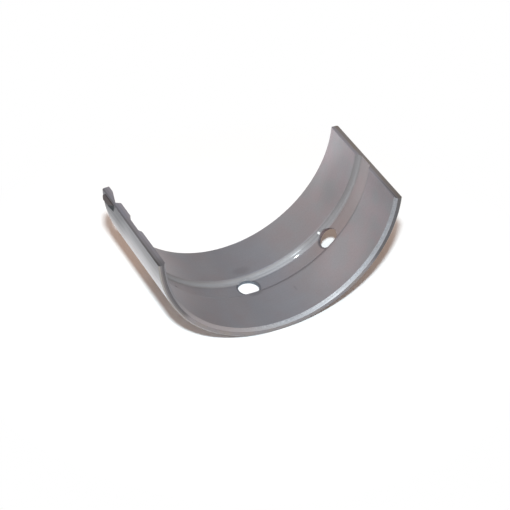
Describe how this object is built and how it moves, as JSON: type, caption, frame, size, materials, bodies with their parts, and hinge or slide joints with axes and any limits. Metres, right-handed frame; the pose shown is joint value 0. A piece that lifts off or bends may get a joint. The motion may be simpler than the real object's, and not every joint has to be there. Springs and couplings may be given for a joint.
{
  "type": "engine bearing shell",
  "caption": "Half-round plain bearing shell with a grooved bore, oil holes, chamfered ends and a locating tang, which lines half of a crankshaft main bearing housing.",
  "frame": {"origin": "on the axis of the bore, halfway along the shell's width", "axes": "+Y along the axis of the bore, +Z out of the open side, +X towards the joint face with no tang"},
  "size_m": [0.0675, 0.034, 0.0315],
  "materials": {
    "bearing_metal": "matt grey lining bonded to a bright steel back"
  },
  "bodies": {
    "root": {"bearing_shell": "bearing_metal"}
  },
  "joints": []
}
